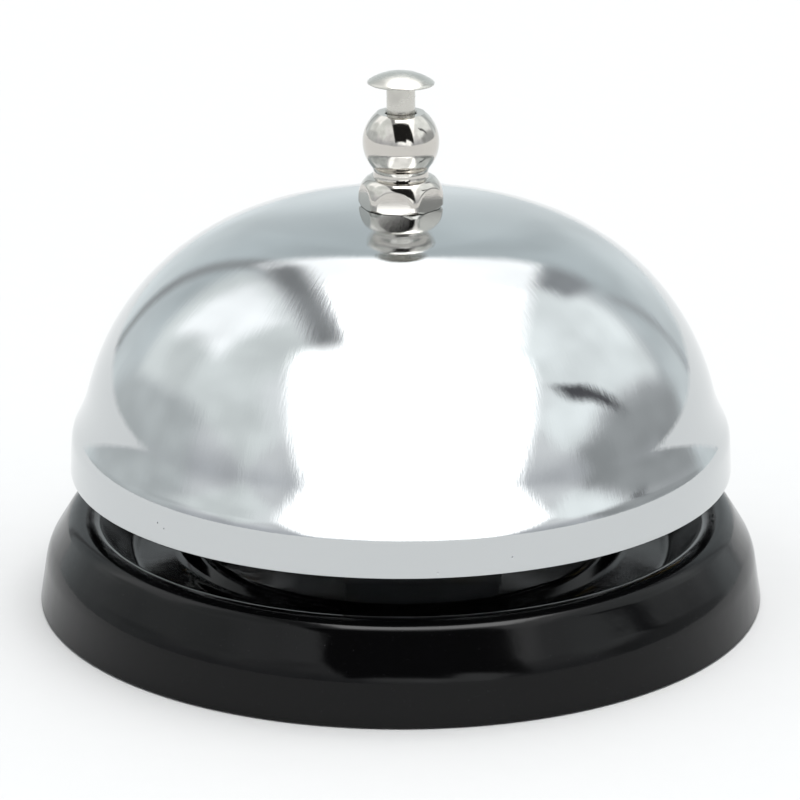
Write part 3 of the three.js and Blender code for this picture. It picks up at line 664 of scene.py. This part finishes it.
finial_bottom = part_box("finial_nut")[0].z / MM
neck_centre = WAIST_RADIUS + NECK_FILLET
neck_drop = math.sqrt((BALL_RADIUS + NECK_FILLET) ** 2 - neck_centre ** 2)
waist_height = BALL_CENTRE - neck_drop
ball_start = math.degrees(math.atan2(neck_drop, neck_centre))
ball_end = math.degrees(math.asin((BALL_TOP - BALL_CENTRE) / BALL_RADIUS))
cushion_width = FLANGE_RADIUS - CUSHION_CENTRE
finial_profile = [
    (NUT_THREAD_RADIUS, FINIAL_SEAT),
    (FLANGE_RADIUS - FLANGE_CHAMFER, finial_bottom),
    (FLANGE_RADIUS, finial_bottom + FLANGE_CHAMFER),
    *arc((CUSHION_CENTRE, FLANGE_TOP), cushion_width, CUSHION_HEIGHT, 0.0, 89.0, 32),
    *arc((neck_centre, waist_height), NECK_FILLET, NECK_FILLET,
         180.0 + NECK_FLARE, 180.0 - ball_start, 20),
    *arc((0.0, BALL_CENTRE), BALL_RADIUS, BALL_RADIUS, -ball_start, ball_end, 48)[1:],
    (ROD_HOLE_RADIUS + ROD_HOLE_CHAMFER, BALL_TOP),
    (ROD_HOLE_RADIUS, BALL_TOP - ROD_HOLE_CHAMFER),
    (ROD_HOLE_RADIUS, NUT_THREAD_TOP),
    (NUT_THREAD_RADIUS, NUT_THREAD_TOP),
]


def hex_cut(radius, height, angle):
    """Cuts six flats on the flange, leaving a small rounding along each cut."""
    if radius <= NUT_THREAD_RADIUS + ON_AXIS or height > waist_height:
        return radius, height
    sixth = math.pi / 3
    corner = math.radians(HEX_CORNER_TURN - 90.0)
    from_flat = (angle - corner) % sixth - sixth / 2
    flat = HEX_FLATS / 2 / math.cos(from_flat)
    near = max(HEX_ROUNDING - abs(radius - flat), 0.0) / HEX_ROUNDING
    return min(radius, flat) - near * near * HEX_ROUNDING / 4, height


finial = revolve(
    "finial", subdivided(finial_profile, FINIAL_STEP), FINIAL_SEGMENTS, hex_cut,
)
place_piece(finial, "finial_nut")

# ================================================================ button

cap_sphere = (CAP_RADIUS ** 2 + (CAP_TOP - CAP_RIM[1]) ** 2) / (2 * (CAP_TOP - CAP_RIM[1]))
cap_angle = math.degrees(math.acos(CAP_RADIUS / cap_sphere))
rim_half = (CAP_RIM[1] - CAP_RIM[0]) / 2
cap_profile = [
    (0.0, ROD_SHOULDER + CAP_SEAT_GAP),
    (ROD_RADIUS, ROD_SHOULDER + CAP_SEAT_GAP),
    (CAP_RADIUS - CAP_UNDERCUT, CAP_RIM[0]),
    *arc((CAP_RADIUS - rim_half, CAP_RIM[0] + rim_half), rim_half, rim_half, -90.0, 40.0, 8),
    *arc((0.0, CAP_TOP - cap_sphere), cap_sphere, cap_sphere, cap_angle + 1.5, 90.0, 28),
]
cap_profile[-1] = (0.0, CAP_TOP)
cap = revolve("cap", cap_profile, SMALL_SEGMENTS)
# The cap is staked on a touch off square.
cap_seat = Vector((0.0, 0.0, CAP_RIM[0] * MM))
for vertex in cap.data.vertices:
    turned = Matrix.Rotation(math.radians(CAP_TILT), 3, "Y") @ (vertex.co - cap_seat)
    vertex.co = turned + cap_seat
place_piece(cap, "button_cap")

rod_profile = [
    (0.0, ROD_SHOULDER),
    (ROD_RADIUS, ROD_SHOULDER),
    (ROD_RADIUS, ROD_GROOVE[1]),
    (ROD_GROOVE_RADIUS, ROD_GROOVE[1]),
    (ROD_GROOVE_RADIUS, ROD_GROOVE[0]),
    *arc((0.0, ROD_TIP + ROD_RADIUS), ROD_RADIUS, ROD_RADIUS, 0.0, -90.0, 18),
]
rod_profile[-1] = (0.0, ROD_TIP)
place_piece(revolve("rod", rod_profile, SMALL_SEGMENTS), "plunger_rod")

# ================================================================ mechanism

# What was stamped, cut or turned for the inside keeps its CAD shape, with its edges broken.
for node, width in EDGE_BREAKS.items():
    place_piece(refined_copy(node + "_detail", node, width), node)

spring_low, spring_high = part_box("return_spring")


def spring_height(turn):
    """Height of the wire's centre after so many turns: one closed turn at each end."""
    wire_radius = SPRING_WIRE_RADIUS
    bottom = spring_low.z / MM + wire_radius
    top = spring_high.z / MM - wire_radius
    closed = 2 * wire_radius * SPRING_CLOSED_PITCH
    open_turns = SPRING_TURNS - 2
    pitch = (top - bottom - 2 * closed) / open_turns
    low = min(turn, 1.0)
    middle = min(max(turn - 1.0, 0.0), open_turns)
    high = max(turn - 1.0 - open_turns, 0.0)
    return bottom + (low + high) * closed + middle * pitch


def coil_spring(name):
    """Round wire bent along the spring's line, with flat ends."""
    sides = SPRING_WIRE_SIDES
    mesh_data = bmesh.new()
    count = SPRING_TURNS * SPRING_POINTS_PER_TURN
    rings = []
    for i in range(count + 1):
        turn = i / SPRING_POINTS_PER_TURN
        angle = 2 * math.pi * turn
        outward = Vector((math.cos(angle), math.sin(angle), 0.0))
        centre = outward * SPRING_RADIUS + Vector((0.0, 0.0, spring_height(turn)))
        ring = []
        for k in range(sides):
            around = 2 * math.pi * k / sides
            offset = outward * math.cos(around) + Vector((0.0, 0.0, math.sin(around)))
            ring.append(mesh_data.verts.new((centre + offset * SPRING_WIRE_RADIUS) * MM))
        rings.append(ring)
    for low, high in zip(rings, rings[1:]):
        for k in range(sides):
            n = (k + 1) % sides
            mesh_data.faces.new((low[k], low[n], high[n], high[k]))
    mesh_data.faces.new(rings[0][::-1])
    mesh_data.faces.new(rings[-1])
    return finish_mesh(name, mesh_data, WIRE_SHARP_ANGLE)


spring = place_piece(coil_spring("spring_coil"), "return_spring")
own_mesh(spring)

# ================================================================ stage and light

floor_data = bmesh.new()
bmesh.ops.create_grid(
    floor_data, x_segments=FLOOR_SQUARES, y_segments=FLOOR_SQUARES, size=FLOOR_HALF,
)
floor = finish_mesh("floor", floor_data)
floor_shade, fibre_shade = [rgba(shade, shade, shade) for shade in FLOOR_SHADES]
floor_material, floor_nodes, floor_shader, floor_place = new_material(
    "pale_floor", floor_shade, 0.0, 0.8,
)
fibre = floor_nodes.noise(floor_place, 300.0, 3.0)
wire(
    floor_nodes, floor_shader, Base_Color=floor_nodes.mix(fibre, floor_shade, fibre_shade),
)
floor.data.materials.append(floor_material)


def studio_world():
    """A soft studio: overhead and side lights, the gaps between them, and light walls.
    Directions are laid out flat round the zenith, in degrees: x to the right, y away."""
    world = bpy.data.worlds.new("studio")
    world.use_nodes = True
    tree = world.node_tree
    tree.nodes.clear()
    nodes = Nodes(tree)
    direction = nodes.add("TexCoord").outputs["Generated"]
    parts = nodes.add("SeparateXYZ", {0: direction}).outputs
    tilt = nodes.math("MULTIPLY", nodes.math("ARCCOSINE", parts["Z"]), 180.0 / math.pi)
    flat = nodes.vector("NORMALIZE", nodes.vector("MULTIPLY", direction, (1.0, 1.0, 0.0)))
    spot = nodes.scaled(flat, tilt)
    wobble = nodes.add("TexNoise", {"Vector": spot, "Scale": 0.05, "Detail": 1.5})
    shift = nodes.vector("SUBTRACT", wobble.outputs["Color"], (0.5, 0.5, 0.5))
    loose = nodes.vector("ADD", spot, nodes.scaled(shift, 9.0))
    crisp_xy = nodes.add("SeparateXYZ", {0: spot}).outputs
    loose_xy = nodes.add("SeparateXYZ", {0: loose}).outputs

    def panel(x, y, soft, slant, place):
        """1 inside the box x[0]..x[1], y[0]..y[1], falling to 0 over soft degrees.
        slant leans the box: how far x moves for each degree of y."""
        across = nodes.math("SUBTRACT", place["X"], nodes.math("MULTIPLY", place["Y"], slant))
        sides = [
            nodes.ramp(across, x[0] - soft, x[0] + soft),
            nodes.ramp(across, x[1] + soft, x[1] - soft),
            nodes.ramp(place["Y"], y[0] - soft, y[0] + soft),
            nodes.ramp(place["Y"], y[1] + soft, y[1] - soft),
        ]
        whole = sides[0]
        for side in sides[1:]:
            whole = nodes.math("MULTIPLY", whole, side)
        return whole

    wall = nodes.mix(
        nodes.ramp(tilt, 55.0, 92.0), rgba(0.66, 0.73, 0.755), rgba(0.86, 0.92, 0.94))
    near = nodes.mix(
        nodes.ramp(tilt, 70.0, 88.0), rgba(0.92, 0.94, 0.96), rgba(0.60, 0.62, 0.65))
    light = nodes.mix(nodes.ramp(crisp_xy["Y"], 48.0, 30.0), wall, near)
    panels = [
        # colour, x, y, softness, slant, place; a later panel covers an earlier one
        (rgba(0.68, 0.72, 0.73), (-90.0, -66.0), (-12.0, 60.0), 7.0, 0.0, loose_xy),
        (rgba(0.45, 0.47, 0.48), (70.0, 90.0), (-30.0, 48.0), 6.0, 0.0, loose_xy),
        (rgba(0.40, 0.42, 0.43), (14.0, 22.0), (40.0, 80.0), 2.5, -0.91, crisp_xy),
        (rgba(0.55, 0.58, 0.60), (8.0, 13.0), (44.0, 72.0), 2.0, 0.71, crisp_xy),
        (rgba(1.00, 1.05, 1.05), (-68.0, -26.0), (-44.0, 44.0), 4.0, 0.0, loose_xy),
        (rgba(1.55, 1.58, 1.60), (-52.0, -28.0), (8.0, 35.0), 4.0, 0.0, loose_xy),
        (rgba(1.22, 1.28, 1.29), (26.0, 68.0), (-34.0, 36.0), 4.0, 0.0, loose_xy),
        (rgba(1.15, 1.18, 1.20), (-47.0, 50.0), (-48.0, -18.0), 7.0, 0.0, loose_xy),
        (rgba(1.70, 1.74, 1.76), (-12.0, 46.0), (-86.0, -40.0), 6.0, 0.0, loose_xy),
        (rgba(1.80, 1.82, 1.84), (-14.5, 33.0), (-60.0, 44.0), 1.6, -0.22, crisp_xy),
        (rgba(0.34, 0.35, 0.36), (-24.0, -16.0), (-24.0, 42.0), 2.5, 0.0, crisp_xy),
        (rgba(0.42, 0.44, 0.46), (25.0, 37.0), (31.0, 47.0), 3.0, 0.0, loose_xy),
        (rgba(0.11, 0.11, 0.12), (62.0, 71.0), (-16.0, 4.0), 2.5, 0.9, loose_xy),
        (rgba(0.02, 0.02, 0.02), (-24.0, 22.0), (-78.0, -21.0), 2.0, 0.0, crisp_xy),
        (rgba(0.02, 0.02, 0.02), (-34.0, 5.0), (-68.0, -21.0), 2.0, -0.75, crisp_xy),
        (rgba(8.00, 8.00, 8.00), (-13.0, 24.0), (-14.0, 24.0), 2.0, 0.0, crisp_xy),
    ]
    for color, x, y, soft, slant, place in panels:
        light = nodes.mix(panel(x, y, soft, slant, place), light, color)
    patches = nodes.noise(spot, 0.045, 2.0, 0.5)
    background = nodes.add("Background", {
        "Color": light, "Strength": nodes.ramp(patches, 0.3, 0.7, 0.88, 1.10),
    })
    output = nodes.add("OutputWorld")
    tree.links.new(background.outputs[0], output.inputs["Surface"])
    bpy.context.scene.world = world


def front_softbox(lit_piece):
    """A wide soft panel above and behind the camera, which lights the dome alone."""
    tilt = math.radians(SOFTBOX_TILT)
    light_data = bpy.data.lights.new("front_softbox", "AREA")
    light_data.shape = "RECTANGLE"
    light_data.size = SOFTBOX_WIDTH
    light_data.size_y = SOFTBOX_LENGTH
    light_data.energy = 1.0
    light_data.use_nodes = True
    tree = light_data.node_tree
    tree.nodes.clear()
    nodes = Nodes(tree)
    # 0..1 across and along the panel.
    place = nodes.add("NewGeometry").outputs["Parametric"]
    sides = nodes.add("SeparateXYZ", {0: place}).outputs
    strength = 1.0
    for axis, fade in (("X", SOFTBOX_FADE_ACROSS), ("Y", SOFTBOX_FADE_ALONG)):
        for part in (nodes.ramp(sides[axis], 0.0, fade), nodes.ramp(sides[axis], 1.0, 1.0 - fade)):
            strength = nodes.math("MULTIPLY", strength, part)
    clouds = nodes.noise(place, 4.0, 2.0)
    strength = nodes.math("MULTIPLY", strength, nodes.ramp(clouds, 0.3, 0.6, 0.9, 1.1))
    full = SOFTBOX_RADIANCE * math.pi * light_data.size * light_data.size_y
    glow = nodes.add("Emission", {
        "Color": rgba(1.0, 1.0, 1.0), "Strength": nodes.math("MULTIPLY", strength, full),
    })
    output = nodes.add("OutputLight")
    tree.links.new(glow.outputs[0], output.inputs["Surface"])
    light = bpy.data.objects.new("front_softbox", light_data)
    middle = Vector((SOFTBOX_SIDE, 0.0, AIM_HEIGHT))
    away = Vector((0.0, -math.sin(tilt), math.cos(tilt)))
    light.location = middle + away * SOFTBOX_DISTANCE
    light.rotation_euler = away.to_track_quat("Z", "Y").to_euler()
    light.visible_camera = False
    bpy.context.scene.collection.objects.link(light)
    receivers = bpy.data.collections.new("lit_by_front_softbox")
    receivers.objects.link(lit_piece)
    light.light_linking.receiver_collection = receivers


studio_world()
front_softbox(dome)

# ================================================================ camera

elevation = math.radians(CAMERA_ELEVATION)
camera_data = bpy.data.cameras.new("camera")
camera_data.lens = CAMERA_LENS
camera_data.sensor_width = SENSOR_WIDTH
camera = bpy.data.objects.new("camera", camera_data)
camera.location = (
    CAMERA_SIDE,
    -CAMERA_DISTANCE * math.cos(elevation),
    AIM_HEIGHT + CAMERA_DISTANCE * math.sin(elevation),
)
camera.rotation_euler = (
    math.radians(90.0 - CAMERA_ELEVATION - CAMERA_EXTRA_PITCH), 0.0, 0.0,
)
bpy.context.scene.collection.objects.link(camera)
bpy.context.scene.camera = camera
bpy.context.scene.view_settings.view_transform = "Standard"
